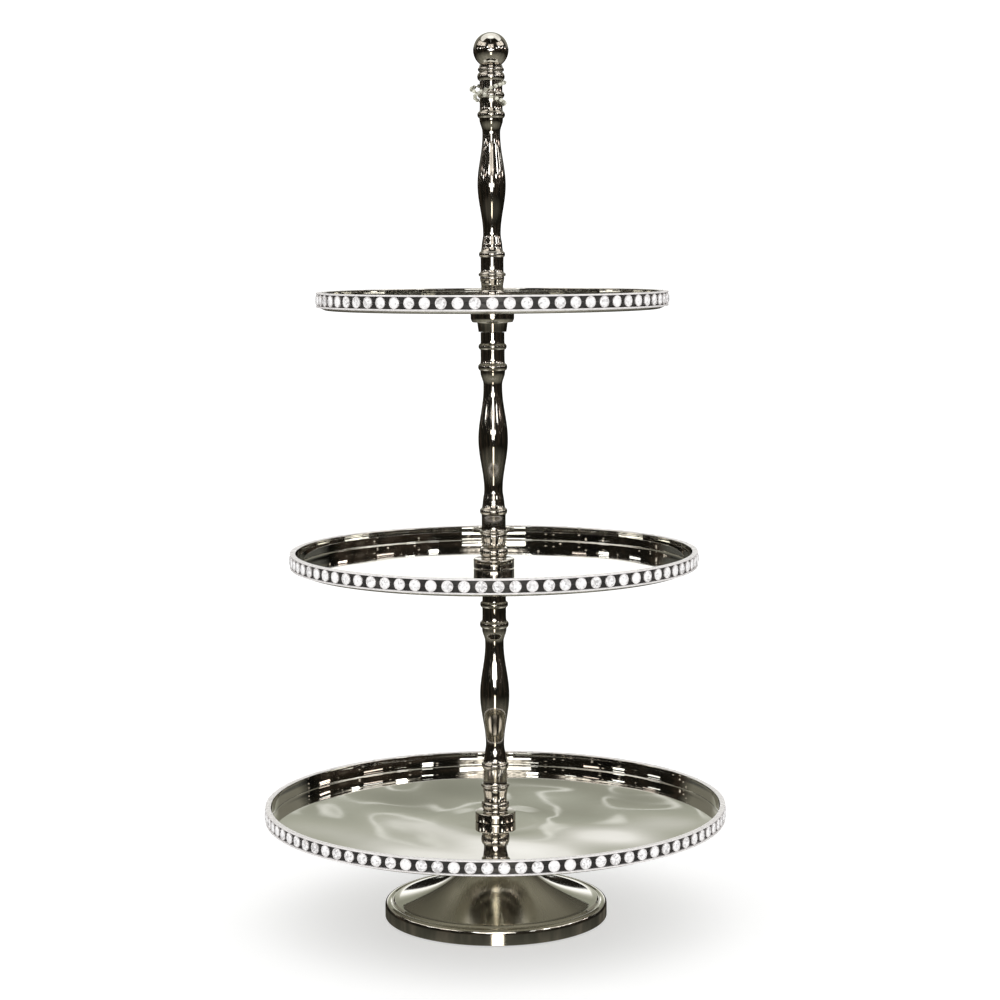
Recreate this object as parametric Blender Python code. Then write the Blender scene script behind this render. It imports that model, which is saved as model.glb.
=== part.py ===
"""Three-tier cake stand in polished nickel, with a chain of clear stones round each tray.

The stand knocks down: a trumpet foot, three trays and three turned columns are threaded onto
short studs, and a ball finial screws on top. The origin is on the table under the pole's axis,
and +Z is up. Lengths are written in millimetres and turned into metres when a mesh is made.
"""
import math
from collections import namedtuple

import bmesh
import bpy
from mathutils import Vector

MM = 0.001
GAP = 0.3               # clearance left between two pieces that touch

# ---------------------------------------------------------------- driving dimensions (mm)
SHEET = 1.2             # thickness of a tray's floor
FOOT_SEAT_HEIGHT = 61.5
COLUMN_TOP = 164.8      # top of a column's cap over the tray it stands on, just under the next tray
FIRST_FLOOR = FOOT_SEAT_HEIGHT + GAP + SHEET
TIER_SPACING = COLUMN_TOP + GAP + SHEET

# A tray: its name, radius over the stones, floor height at the pole, depth from the rim to the
# floor at the pole, and stones in the chain
Tray = namedtuple("Tray", "name radius floor depth stones")
TRAYS = (
    Tray("lower", 150.0, FIRST_FLOOR, 13.0, 94),
    Tray("middle", 131.7, FIRST_FLOOR + TIER_SPACING, 11.6, 81),
    Tray("upper", 112.7, FIRST_FLOOR + 2 * TIER_SPACING, 11.4, 68),
)
WELL_DEPTH = 10.0       # rim to floor beside the wall; the rest of the depth is the floor's dish
WELL_CORNER = 1.2       # chamfer between wall and floor
STONE_PROUD = 0.6       # how far the stones stand out of the rim's lips
CHANNEL_DEPTH = 2.6     # groove for the stone chain, from the lips inwards
WALL = 1.0              # sheet between the groove and the well
LIP = 1.0               # height of the lip above and of the lip below the groove
BAND_HEIGHT = 9.4       # both lips and the groove
SEAT_RADIUS = 26.0      # flat middle of the floor, where the column stands
TRAY_SIDES = 40

STONE_RADIUS = 3.3
STRIP_THICKNESS = 0.8   # metal strip that carries the stones

# Columns, from the tray floor that each stands on
UPPER_COLUMN_SCALE = 0.945
BASE_TOP = 13.2         # top of the base collar
CAP_BOTTOM = 151.8
COLUMN_SIDES = 16
BORE_RADIUS = 3.4
BORE_DEPTH = 16.0

STUD_RADIUS = 3.0
STUD_RISE = 27.0        # how far a stud stands above the tray floor
STUD_SIDES = 12
STUD_CHAMFER = 0.4
STUD_SHORT = 1.5        # room between a stud and the bottom of its hole
LOWER_STUD_END = 3.4    # the lowest stud runs down to the nut under the foot's plate
NUT_ACROSS_FLATS = 10.0
NUT_HEIGHT = 4.8
FINIAL_STUD_RADIUS = 2.0
FINIAL_BORE_RADIUS = 2.4
FINIAL_BORE_DEPTH = 10.0

# Foot
FOOT_RADIUS = 72.5
FOOT_LIFT = 0.6         # the shell's edge above the table
FOOT_SEAT_RADIUS = 15.6
SEAT_THICKNESS = 3.6
SKIRT_SHOULDER = ((72.5, 9.1), (71.6, 10.3), (70.0, 10.8), (68.2, 10.4), (66.6, 11.3))
FLARE_BOTTOM = 11.4     # height where the trumpet meets the skirt
FLARE_NECK_RADIUS = 14.0
FLARE_SPREAD = 50.0     # how far the trumpet spreads below its neck
FLARE_LENGTH = 12.3     # height over which the spread falls to 1/e
FLARE_RINGS = 8
SHELL = 1.5
PLATE_RADIUS = 70.6     # pressed plate that closes the foot, with a dome over the nut
PLATE_HEIGHT = 1.9
PLATE_THICKNESS = 1.8
DOME_TOP = 12.8
FELT_INNER_RADIUS = 52.0
FELT_OUTER_RADIUS = 69.5
FELT_THICKNESS = 1.6
FOOT_SIDES = 36
HIDDEN_SIDES = 24       # for the pieces under the foot

# Finial
FINIAL_BALL_RADIUS = 11.2
FINIAL_BALL_HEIGHT = 558.2
FINIAL_BALL_RINGS = 8
FINIAL_COLLAR_TOP = 548.4

# Bead strand wound twice round the top of the upper column
STRAND_HEIGHT = 531.5
STRAND_RISE = 6.5       # its loops rise and fall by this much
STRAND_SPLIT = 2.5      # and lie this far above and below the middle at the left
STRAND_RADIUS = 10.0
STRAND_BEAD_RADIUS = 1.15
STRAND_WIRE_RADIUS = 0.5
STRAND_BEADS = 28
STRAND_SIDES = 5


# ---------------------------------------------------------------- helpers
def clear_scene():
    for obj in list(bpy.data.objects):
        bpy.data.objects.remove(obj, do_unlink=True)


def material(name, colour, roughness, metallic):
    made = bpy.data.materials.new(name)
    made.use_nodes = True
    shader = made.node_tree.nodes["Principled BSDF"]
    shader.inputs["Base Color"].default_value = (*colour, 1.0)
    shader.inputs["Roughness"].default_value = roughness
    shader.inputs["Metallic"].default_value = metallic
    return made


def add_object(name, bm, surface, parent=None):
    """Turn a bmesh written in millimetres into an object, and hang it on its joint's empty."""
    bmesh.ops.scale(bm, vec=(MM, MM, MM), verts=bm.verts)
    bmesh.ops.recalc_face_normals(bm, faces=bm.faces)
    mesh = bpy.data.meshes.new(name)
    bm.to_mesh(mesh)
    bm.free()
    mesh.materials.append(surface)
    mesh.shade_smooth()
    mesh.set_sharp_from_angle(angle=math.radians(32))
    obj = bpy.data.objects.new(name, mesh)
    bpy.context.collection.objects.link(obj)
    obj.parent = parent
    return obj


def add_axis(name):
    """Empty on the pole's axis: the joint axis of the body that hangs on it."""
    empty = bpy.data.objects.new(name, None)
    bpy.context.collection.objects.link(empty)
    return empty


def turned(name, outline, sides, surface, parent=None):
    """Spin a (radius, height) outline round the pole's axis.

    An outline that starts and ends on the axis makes a solid piece. Any other is closed into a ring.
    """
    bm = bmesh.new()
    points = [bm.verts.new((radius, 0.0, height)) for radius, height in outline]
    edges = [bm.edges.new(pair) for pair in zip(points, points[1:])]
    if outline[0][0] > 0.0:
        edges.append(bm.edges.new((points[-1], points[0])))
    bmesh.ops.spin(bm, geom=points + edges, cent=(0, 0, 0), axis=(0, 0, 1),
                   angle=math.tau, steps=sides, use_merge=True)
    bmesh.ops.remove_doubles(bm, verts=bm.verts, dist=0.001)
    return add_object(name, bm, surface, parent)


def eased(start, end, steps):
    """Points of an S-curve from one (radius, height) to another, without the first point."""
    points = []
    for step in range(1, steps + 1):
        part = step / steps
        blend = 0.5 - 0.5 * math.cos(math.pi * part)
        points.append((start[0] + (end[0] - start[0]) * blend,
                       start[1] + (end[1] - start[1]) * part))
    return points


def ring_bead(low, high, root, crest):
    """Half-round bead on a column between two heights."""
    rounding = (high - low) * 0.28
    return [(root, low), (crest, low + rounding), (crest, high - rounding), (root, high)]


def placed(outline, scale, floor):
    """Scale a column outline and stand it on a tray floor."""
    return [(radius * scale, height * scale + floor) for radius, height in outline]


# ---------------------------------------------------------------- trays
def rim_of(tray):
    """Radius of the rim's lips, and height of the rim."""
    return tray.radius - STONE_PROUD, tray.floor + tray.depth


def make_tray(tray, surface, parent):
    lip, rim = rim_of(tray)
    floor = tray.floor
    groove = lip - CHANNEL_DEPTH
    wall = groove - WALL
    outline = [
        (BORE_RADIUS, floor - SHEET), (BORE_RADIUS, floor), (SEAT_RADIUS, floor),
        (wall - WELL_CORNER, rim - WELL_DEPTH), (wall, rim - WELL_DEPTH + WELL_CORNER),
        (wall, rim - 0.5 * LIP), (wall + 0.5 * LIP, rim), (lip - 0.4 * LIP, rim),
        (lip, rim - 0.4 * LIP), (lip, rim - LIP), (groove, rim - LIP),
        (groove, rim - BAND_HEIGHT + LIP), (lip, rim - BAND_HEIGHT + LIP),
        (lip, rim - BAND_HEIGHT + 0.3 * LIP), (wall - WELL_CORNER, rim - WELL_DEPTH - SHEET),
        (SEAT_RADIUS, floor - SHEET),
    ]
    return turned(tray.name + "_tray_pan", outline, TRAY_SIDES, surface, parent)


def make_stone_chain(tray, surface, parent):
    """Ring-shaped strip with a six-sided stone on each of its links."""
    lip, rim = rim_of(tray)
    stones = tray.stones
    inner = lip - CHANNEL_DEPTH + GAP
    outer = inner + STRIP_THICKNESS
    low = rim - BAND_HEIGHT + LIP + GAP
    high = rim - LIP - GAP
    middle = 0.5 * (low + high)
    pitch = math.tau / stones

    bm = bmesh.new()

    def corner(radius, index, height):
        angle = (index - 0.5) * pitch
        return bm.verts.new((radius * math.cos(angle), radius * math.sin(angle), height))

    rows = [[corner(radius, index, height) for index in range(stones)]
            for radius, height in ((inner, low), (outer, low), (outer, high), (inner, high))]
    for index in range(stones):
        after = (index + 1) % stones
        in_low, out_low, out_high, in_high = [(row[index], row[after]) for row in rows]
        bm.faces.new((in_low[1], in_low[0], in_high[0], in_high[1]))
        bm.faces.new((in_low[0], in_low[1], out_low[1], out_low[0]))
        bm.faces.new((out_high[0], out_high[1], in_high[1], in_high[0]))

        angle = index * pitch
        outward = (math.cos(angle), math.sin(angle))
        face_radius = outer * math.cos(0.5 * pitch)

        def on_face(across, height, out=0.0):
            reach = face_radius + out
            return bm.verts.new((outward[0] * reach - outward[1] * across,
                                 outward[1] * reach + outward[0] * across, height))

        girdle = [on_face(STONE_RADIUS * math.cos(turn), middle + STONE_RADIUS * math.sin(turn))
                  for turn in (math.tau * side / 6 for side in range(6))]
        tip = on_face(0.0, middle, tray.radius - face_radius)
        for side in range(6):
            bm.faces.new((girdle[side], girdle[(side + 1) % 6], tip))
        right_low, right_high = out_low[1], out_high[1]
        left_low, left_high = out_low[0], out_high[0]
        bm.faces.new((right_high, girdle[1], girdle[0]))
        bm.faces.new((right_high, girdle[0], right_low))
        bm.faces.new((right_low, girdle[0], girdle[5]))
        bm.faces.new((right_low, girdle[5], girdle[4], left_low))
        bm.faces.new((left_low, girdle[4], girdle[3]))
        bm.faces.new((left_low, girdle[3], left_high))
        bm.faces.new((left_high, girdle[3], girdle[2]))
        bm.faces.new((left_high, girdle[2], girdle[1], right_high))
    return add_object(tray.name + "_stone_chain", bm, surface, parent)


# ---------------------------------------------------------------- columns
def base_outline():
    """Flange on the tray floor, with a bead above it."""
    return [
        (13.2, GAP), (13.2, 5.0), (12.4, 6.0), (7.9, 6.2), (7.9, 7.8), (8.7, 8.8),
        (9.15, 10.6), (9.15, 12.2), (8.6, BASE_TOP),
    ]


def spindle_outline():
    """Turned spindle: beads at both ends, and a long belly between two necks."""
    shoulder = (7.0, 41.6)
    lower_neck = (5.95, 50.5)
    belly = (9.5, 83.0)
    upper_neck = (6.0, 116.5)
    outline = [(7.4, BASE_TOP + GAP), (7.5, 16.5), (8.2, 21.4)]
    outline += ring_bead(21.9, 24.6, 7.7, 9.2)
    outline += [(7.7, 34.6)]
    outline += ring_bead(34.9, 38.6, 7.8, 8.8)
    outline += [shoulder]
    outline += eased(shoulder, lower_neck, 2)
    outline += eased(lower_neck, belly, 5)
    outline += eased(belly, upper_neck, 5)
    outline += [(6.05, 119.5), (7.0, 123.0)]
    outline += ring_bead(127.3, 131.7, 8.0, 9.3)
    outline += ring_bead(140.6, 144.5, 7.7, 9.0)
    outline += [(7.6, CAP_BOTTOM - GAP)]
    return outline


def cap_outline():
    """Stepped collar that spreads to a flange under the next tray."""
    return [
        (8.9, CAP_BOTTOM), (9.2, 152.8), (9.7, 157.6), (12.9, 158.1), (13.7, 159.6),
        (13.9, COLUMN_TOP),
    ]


def ring_from(outline, bore, floor, scale):
    """Close a collar outline with the wall of its bore."""
    shape = placed(outline, scale, floor)
    return shape + [(bore, shape[-1][1]), (bore, shape[0][1])]


def bored_spindle(floor, scale, top_bore_radius, top_bore_depth):
    """Spindle with a blind hole up from the bottom and another down from the top."""
    shape = placed(spindle_outline(), scale, floor)
    low, high = shape[0][1], shape[-1][1]
    bottom_hole = [(0.0, low + BORE_DEPTH), (BORE_RADIUS, low + BORE_DEPTH), (BORE_RADIUS, low)]
    top_hole = [(top_bore_radius, high), (top_bore_radius, high - top_bore_depth),
                (0.0, high - top_bore_depth)]
    return bottom_hole + shape + top_hole


def make_column(tray, last, surface, parent):
    """Column that stands on a tray. The last one is smaller, and carries the finial and no tray."""
    scale = UPPER_COLUMN_SCALE if last else 1.0
    top_hole = (FINIAL_BORE_RADIUS, FINIAL_BORE_DEPTH) if last else (BORE_RADIUS, BORE_DEPTH)
    name = tray.name + "_column_"
    turned(name + "base", ring_from(base_outline(), BORE_RADIUS, tray.floor, scale),
           COLUMN_SIDES, surface, parent)
    turned(name + "spindle", bored_spindle(tray.floor, scale, *top_hole),
           COLUMN_SIDES, surface, parent)
    if not last:
        turned(name + "cap", ring_from(cap_outline(), BORE_RADIUS, tray.floor, scale),
               COLUMN_SIDES, surface, parent)


def make_stud(name, low, high, radius, surface, parent):
    end = radius - STUD_CHAMFER
    outline = [(0.0, low), (end, low), (radius, low + STUD_CHAMFER),
               (radius, high - STUD_CHAMFER), (end, high), (0.0, high)]
    turned(name, outline, STUD_SIDES, surface, parent)


# ---------------------------------------------------------------- foot
def flare_radius(height):
    return FLARE_NECK_RADIUS + FLARE_SPREAD * math.exp((FLARE_BOTTOM - height) / FLARE_LENGTH)


def make_foot_shell(surface):
    seat_bottom = FOOT_SEAT_HEIGHT - SEAT_THICKNESS
    rise = seat_bottom - 0.9 - FLARE_BOTTOM
    flare = [FLARE_BOTTOM + rise * (ring / FLARE_RINGS) ** 1.6 for ring in range(FLARE_RINGS + 1)]
    outside = [(FOOT_RADIUS, FOOT_LIFT), *SKIRT_SHOULDER]
    outside += [(flare_radius(height), height) for height in flare]
    outside += [(FOOT_SEAT_RADIUS, seat_bottom), (FOOT_SEAT_RADIUS, FOOT_SEAT_HEIGHT)]
    inside = [(BORE_RADIUS, FOOT_SEAT_HEIGHT), (BORE_RADIUS, FOOT_SEAT_HEIGHT - 2.0)]
    inside += [(flare_radius(height) - SHELL, height - SHELL) for height in reversed(flare[::2])]
    inside += [(FOOT_RADIUS - 3.9, 8.9), (FOOT_RADIUS - SHELL, 7.7), (FOOT_RADIUS - SHELL, FOOT_LIFT)]
    turned("foot_shell", outside + inside, FOOT_SIDES, surface)


def make_base(steel, felt):
    """Plate, washer and nut that clamp the foot onto the lowest stud, and the felt under it all."""
    plate_top = PLATE_HEIGHT + PLATE_THICKNESS
    plate = [(PLATE_RADIUS, PLATE_HEIGHT), (PLATE_RADIUS, plate_top), (23.2, plate_top),
             (18.2, DOME_TOP), (BORE_RADIUS, DOME_TOP), (BORE_RADIUS, DOME_TOP - PLATE_THICKNESS),
             (17.0, DOME_TOP - PLATE_THICKNESS), (22.0, PLATE_HEIGHT)]
    turned("foot_base_plate", plate, HIDDEN_SIDES, steel)

    felt_ring = [(FELT_OUTER_RADIUS, 0.0), (FELT_OUTER_RADIUS, FELT_THICKNESS),
                 (FELT_INNER_RADIUS, FELT_THICKNESS), (FELT_INNER_RADIUS, 0.0)]
    turned("foot_felt_ring", felt_ring, HIDDEN_SIDES, felt)

    washer_top = DOME_TOP - PLATE_THICKNESS - GAP
    washer = [(8.5, washer_top - 1.0), (8.5, washer_top), (BORE_RADIUS, washer_top),
              (BORE_RADIUS, washer_top - 1.0)]
    turned("base_washer", washer, COLUMN_SIDES, steel)

    nut_top = washer_top - 1.0 - GAP
    nut_bottom = nut_top - NUT_HEIGHT
    corner = 1.0 / math.cos(math.pi / 6)
    nut_radius = NUT_ACROSS_FLATS / 2 * corner
    nut = [(nut_radius, nut_bottom), (nut_radius, nut_top), (BORE_RADIUS * corner, nut_top),
           (BORE_RADIUS * corner, nut_bottom)]
    turned("base_nut", nut, 6, steel)


# ---------------------------------------------------------------- finial and bead strand
def make_finial(nickel, steel, parent_column, parent_finial):
    spindle_top = TRAYS[-1].floor + (CAP_BOTTOM - GAP) * UPPER_COLUMN_SCALE
    low = spindle_top + GAP
    collar = [(7.0, low), (8.4, low + 0.8), (8.7, low + 2.2), (8.6, low + 4.4), (7.5, low + 5.1),
              (7.4, low + 5.8), (8.3, low + 6.5), (8.3, low + 8.0), (7.4, FINIAL_COLLAR_TOP),
              (FINIAL_BORE_RADIUS, FINIAL_COLLAR_TOP), (FINIAL_BORE_RADIUS, low)]
    turned("finial_collar", collar, COLUMN_SIDES, nickel, parent_column)

    neck = FINIAL_COLLAR_TOP + GAP
    hole = FINIAL_STUD_RADIUS + GAP
    ball = [(0.0, FINIAL_BALL_HEIGHT), (hole, FINIAL_BALL_HEIGHT), (hole, neck), (7.4, neck)]
    lowest = math.radians(-54)
    for ring in range(FINIAL_BALL_RINGS):
        angle = lowest + (math.pi / 2 - lowest) * ring / FINIAL_BALL_RINGS
        ball.append((FINIAL_BALL_RADIUS * math.cos(angle),
                     FINIAL_BALL_HEIGHT + FINIAL_BALL_RADIUS * math.sin(angle)))
    ball.append((0.0, FINIAL_BALL_HEIGHT + FINIAL_BALL_RADIUS))
    turned("finial_ball", ball, COLUMN_SIDES, nickel, parent_finial)
    make_stud("finial_stud", spindle_top - FINIAL_BORE_DEPTH + STUD_SHORT, FINIAL_BALL_HEIGHT - GAP,
              FINIAL_STUD_RADIUS, steel, parent_finial)


def strand_point(turn):
    """Centre line of the strand, which closes on itself after two turns (0 to 4 pi).

    On the +X side the two turns lie above and below the column's bead, on the -X side beside it.
    """
    reach = STRAND_RADIUS - 1.4 * math.cos(turn) + 1.1 * math.sin(turn / 2)
    height = STRAND_HEIGHT + STRAND_RISE * math.cos(turn / 2) + STRAND_SPLIT * math.sin(turn / 2)
    return Vector((reach * math.cos(turn), reach * math.sin(turn), height))


def make_strand(surface, parent):
    """Tube along the strand that swells into a bead at every other ring of points."""
    bm = bmesh.new()
    rings = []
    count = STRAND_BEADS * 2
    for index in range(count):
        turn = 2 * math.tau * index / count
        along = (strand_point(turn + 0.02) - strand_point(turn - 0.02)).normalized()
        outward = Vector((math.cos(turn), math.sin(turn), 0.0))
        outward = (outward - outward.dot(along) * along).normalized()
        across = along.cross(outward)
        size = STRAND_BEAD_RADIUS if index % 2 else STRAND_WIRE_RADIUS
        ring = []
        for side in range(STRAND_SIDES):
            angle = math.tau * side / STRAND_SIDES
            offset = math.cos(angle) * outward + math.sin(angle) * across
            ring.append(bm.verts.new(strand_point(turn) + size * offset))
        rings.append(ring)
    for ring, after in zip(rings, rings[1:] + rings[:1]):
        for side in range(STRAND_SIDES):
            nxt = (side + 1) % STRAND_SIDES
            bm.faces.new((ring[side], ring[nxt], after[nxt], after[side]))
    add_object("neck_bead_strand", bm, surface, parent)


# ---------------------------------------------------------------- the stand
def main():
    clear_scene()
    nickel = material("polished_nickel", (0.66, 0.64, 0.60), 0.06, 1.0)
    crystal = material("crystal", (0.93, 0.95, 0.97), 0.03, 0.0)
    steel = material("plated_steel", (0.52, 0.52, 0.53), 0.35, 1.0)
    felt = material("felt", (0.05, 0.05, 0.05), 0.95, 0.0)

    make_foot_shell(nickel)
    make_base(steel, felt)
    make_stud("lower_stud", LOWER_STUD_END, FIRST_FLOOR + STUD_RISE, STUD_RADIUS, steel, None)

    for index, tray in enumerate(TRAYS):
        turning = add_axis(tray.name + "_tray_axis")
        make_tray(tray, nickel, turning)
        make_stone_chain(tray, crystal, turning)
        rising = add_axis(tray.name + "_column_axis")
        last = tray is TRAYS[-1]
        make_column(tray, last, nickel, rising)
        if not last:
            above = TRAYS[index + 1]
            hole_end = tray.floor + CAP_BOTTOM - GAP - BORE_DEPTH
            make_stud(above.name + "_stud", hole_end + STUD_SHORT, above.floor + STUD_RISE,
                      STUD_RADIUS, steel, rising)
    make_finial(nickel, steel, rising, add_axis("finial_axis"))
    make_strand(crystal, rising)


main()
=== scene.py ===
import math

import bmesh
import bpy
import numpy as np
from mathutils import Matrix, Vector


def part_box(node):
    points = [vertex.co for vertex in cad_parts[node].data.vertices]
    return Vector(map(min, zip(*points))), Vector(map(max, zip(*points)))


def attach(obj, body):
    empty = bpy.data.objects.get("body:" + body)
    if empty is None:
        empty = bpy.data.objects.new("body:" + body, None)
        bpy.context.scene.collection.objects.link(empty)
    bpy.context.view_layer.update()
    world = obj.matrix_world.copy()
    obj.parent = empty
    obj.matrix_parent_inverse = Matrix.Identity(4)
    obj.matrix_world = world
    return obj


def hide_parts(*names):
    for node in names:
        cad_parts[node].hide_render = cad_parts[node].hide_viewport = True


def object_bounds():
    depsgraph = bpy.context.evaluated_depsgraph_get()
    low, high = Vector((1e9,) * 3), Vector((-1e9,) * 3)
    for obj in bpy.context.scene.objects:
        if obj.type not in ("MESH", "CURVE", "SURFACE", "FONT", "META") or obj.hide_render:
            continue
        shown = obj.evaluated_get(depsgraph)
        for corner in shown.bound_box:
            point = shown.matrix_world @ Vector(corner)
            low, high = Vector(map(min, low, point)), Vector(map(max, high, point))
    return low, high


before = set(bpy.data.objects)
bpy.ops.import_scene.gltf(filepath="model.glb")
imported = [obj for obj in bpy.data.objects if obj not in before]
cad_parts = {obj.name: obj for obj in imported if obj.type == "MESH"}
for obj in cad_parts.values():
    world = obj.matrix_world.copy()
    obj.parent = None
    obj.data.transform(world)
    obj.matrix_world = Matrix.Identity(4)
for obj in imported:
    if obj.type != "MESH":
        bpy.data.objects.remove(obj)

# The looks of a three-tier cake stand: polished nickel, with a cup chain of clear stones round
# each tray. Shapes are turned round the pole's axis. Lengths are in millimetres until a mesh is
# made, and every place is worked out from the boxes of the frame's nodes.
MM = 0.001
cad_low, cad_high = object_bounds()

TIERS = ("lower", "middle", "upper")
STONES = {"lower": 94, "middle": 81, "upper": 68}
COLUMN_SCALE = {"lower": 1.0, "middle": 1.0, "upper": 0.945}

# Trays
SHEET = 1.2             # thickness of the floor
SEAT_RADIUS = 26.0      # flat middle of the floor, under the column
COLLAR_ROOM = 14.0      # the column's base collar stands inside this radius
LIP = 1.0               # height of the lip above and of the lip below the stones
STONE_PROUD = 0.6       # the stones stand this far out of the lips
CHANNEL_DEPTH = 2.6
CHANNEL_CORNER = 0.3    # rounding of the channel's corners
LIP_OUTER_EDGE = 0.45   # roundings of the lips' edges
LIP_INNER_EDGE = 0.35
WALL = 1.0
WALL_CORNER = 0.7       # rounding of the wall's foot and of the rim's inner edge
WELL_DEPTH = 10.0       # rim to floor beside the wall
BAND_HEIGHT = 9.4
DISH_STEPS = 40
DISH_CURVE = 1.25       # above 1, the floor is flatter in the middle than beside the wall
DISH_END = 1.2          # the dish ends this far inside the wall
WALL_STEPS = 12
WAVE_FADE = 15.0        # the floor's waves die out over this distance
WALL_BULGES = {"lower": 0.26, "middle": 0.18, "upper": 0.05}  # how far each wall swells inwards
FLOOR_WAVES = {"lower": 0.16, "middle": 0.05, "upper": 0.08}  # heights of the floors' slow waves

# Cup chain
STRIP_GAP = 0.3
STRIP_THICKNESS = 0.8
STRIP_EDGE = 0.2        # rounding of the strip's outer edges
STONE_RADIUS = 3.38
STONE_FOLD = 8          # sides of a stone's flat top; its girdle has twice as many
STONE_TABLE = 0.52      # radius of the flat top, as a share of the stone's
STONE_KITE = 0.80       # radius at which the crown's facets meet, as a share of the stone's
STONE_KITE_HEIGHT = 0.55  # and their height there, as a share of the crown's
GIRDLE_THICKNESS = 0.12
PAVILION_DEPTH = 0.7
CUP_RADIUS = 3.62
CUP_HEIGHT = 1.15
CUP_SINK = 0.05         # the cups reach this far into the strip
STONE_SINK = 0.25       # the stones' girdles lie this far below the cups' rims
LINK_LIFT = 0.25        # the links' middles lie this far out of the strip
CLAWS = 4
TABLE_INSET = 0.12      # the stone's flat top lies this far inside the stones' outer radius
CUP_SIDES = 24

# Column, from the tray floor that it stands on
GAP = 0.3
BORE_RADIUS = 3.4
BASE_TOP = 13.2
CAP_BOTTOM = 151.8
COLUMN_TOP = 164.8
BORE_DEPTH = 16.0
THREAD_DEPTH = 0.45     # on a rod of 3 mm radius, and in proportion on a thinner one
THREAD_PITCH = 1.25
THREAD_ROD_RADIUS = 3.0
THREAD_LEAD = 0.8       # smooth end of a rod
THREAD_RINGS = 6        # rings of points in each turn of the thread

# Finial
FINIAL_BORE_RADIUS = 2.4
FINIAL_BORE_DEPTH = 10.0
BALL_RADIUS = 11.2
BALL_BORE_RADIUS = 2.3
BALL_STEPS = 48

# Foot
FOOT_RADIUS = 72.5
FLARE_BOTTOM = 11.4
FLARE_NECK_RADIUS = 14.0
FLARE_SPREAD = 50.0
FLARE_LENGTH = 12.3
FLARE_STEPS = 48
FLARE_SHEET = 1.5
PLATE_SHEET = 1.8
PLATE_RIDGE = 0.8       # height of the pressed ring in the base plate
FELT_INNER_RADIUS = 52.0
FELT_LIFT = 0.02        # the fibres' ends stay this far above the table

# Bead strand at the neck
STRAND_HEIGHT = 531.5
STRAND_RISE = 6.5       # its loops rise and fall by this much
STRAND_SPLIT = 2.5      # and lie this far above and below the middle at the left
STRAND_RADIUS = 10.0
STRAND_BEADS = 36
STRAND_BEAD_RADIUS = 1.3
STRAND_WIRE_RADIUS = 0.4
STRAND_WIRE_RINGS = 360
STRAND_SIDES = 10       # sides of a bead and of the wire

TRAY_SIDES = 384
COLUMN_SIDES = 96
FOOT_SIDES = 256
PLATE_SIDES = 128
FELT_SIDES = 180
NUT_SIDES = 144
WASHER_SIDES = 64
ROD_SIDES = 28
SMALL_SIDES = 10        # claws and links


# ---- nodes and materials
def node(tree, kind, inputs=None, **settings):
    """Add a shader node. An input is a value, or another node's socket to link."""
    made = tree.nodes.new(kind)
    for key, value in settings.items():
        setattr(made, key, value)
    for key, value in (inputs or {}).items():
        if isinstance(value, bpy.types.NodeSocket):
            tree.links.new(value, made.inputs[key])
        else:
            made.inputs[key].default_value = value
    return made


def maths(tree, operation, *values, clamp=False):
    made = node(tree, "ShaderNodeMath", dict(enumerate(values)), operation=operation)
    made.use_clamp = clamp
    return made.outputs[0]


def ramp(tree, factor, *stops):
    """Colour ramp with (position, colour) stops."""
    made = node(tree, "ShaderNodeValToRGB", {"Fac": factor})
    elements = made.color_ramp.elements
    elements[0].position, elements[0].color = stops[0][0], (*stops[0][1], 1.0)
    elements[1].position, elements[1].color = stops[-1][0], (*stops[-1][1], 1.0)
    for position, colour in stops[1:-1]:
        elements.new(position).color = (*colour, 1.0)
    return made.outputs["Color"]


def new_material(name):
    made = bpy.data.materials.new(name)
    made.use_nodes = True
    tree = made.node_tree
    shader = tree.nodes["Principled BSDF"]
    place = tree.nodes.new("ShaderNodeTexCoord").outputs["Object"]
    return made, tree, shader, place


def noise(tree, place, scale, detail=3.0, roughness=0.5):
    made = node(tree, "ShaderNodeTexNoise", {"Vector": place, "Scale": scale, "Detail": detail,
                                             "Roughness": roughness})
    return made.outputs["Fac"]


def spread(tree, value, low, high):
    """Map a noise's middle range onto low to high."""
    made = node(tree, "ShaderNodeMapRange", {"Value": value, "From Min": 0.3, "From Max": 0.7,
                                             "To Min": low, "To Max": high})
    return made.outputs["Result"]


def bumped(tree, shader, height, strength, distance):
    bump = node(tree, "ShaderNodeBump", {"Height": height, "Strength": strength,
                                         "Distance": distance})
    tree.links.new(bump.outputs["Normal"], shader.inputs["Normal"])


def polished_nickel(name, bright, dull, smooth, smudged):
    """Mirror plate: warm tint that drifts, faint smudges in its gloss, and fine polishing haze."""
    made, tree, shader, place = new_material(name)
    shader.inputs["Metallic"].default_value = 1.0
    drift = spread(tree, noise(tree, place, 22.0), 0.0, 1.0)
    tree.links.new(ramp(tree, drift, (0.0, dull), (1.0, bright)), shader.inputs["Base Color"])
    smudges = noise(tree, place, 55.0, 5.0, 0.6)
    tree.links.new(spread(tree, smudges, smooth, smudged), shader.inputs["Roughness"])
    bumped(tree, shader, noise(tree, place, 260.0, 2.0), 0.05, 0.00002)
    return made


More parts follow.
